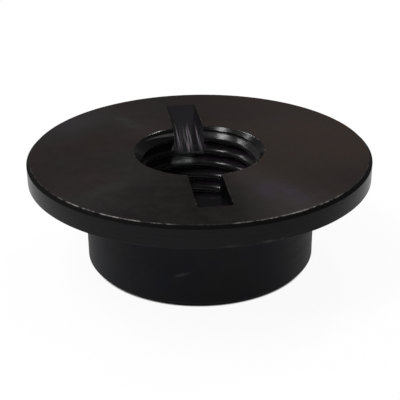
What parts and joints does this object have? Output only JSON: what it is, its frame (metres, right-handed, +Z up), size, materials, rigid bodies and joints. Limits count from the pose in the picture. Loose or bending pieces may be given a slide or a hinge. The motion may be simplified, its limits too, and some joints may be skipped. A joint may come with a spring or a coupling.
{
  "type": "slotted flange nut",
  "caption": "Round black-oxide steel nut with a wide thin flange on a pilot boss, a tapped through hole and a saw-cut driver slot across the flange face",
  "frame": {"origin": "On the nut's axis, at the lower face of the boss, on which it stands", "axes": "+Z runs up the axis from the boss to the slotted flange face; +Y runs along the driver slot; +X crosses the slot"},
  "size_m": [0.0254, 0.0254, 0.0085],
  "materials": {
    "black_oxide": "turned steel, black oxide, lightly oiled"
  },
  "bodies": {
    "root": {"flange_nut": "black_oxide"}
  },
  "joints": []
}
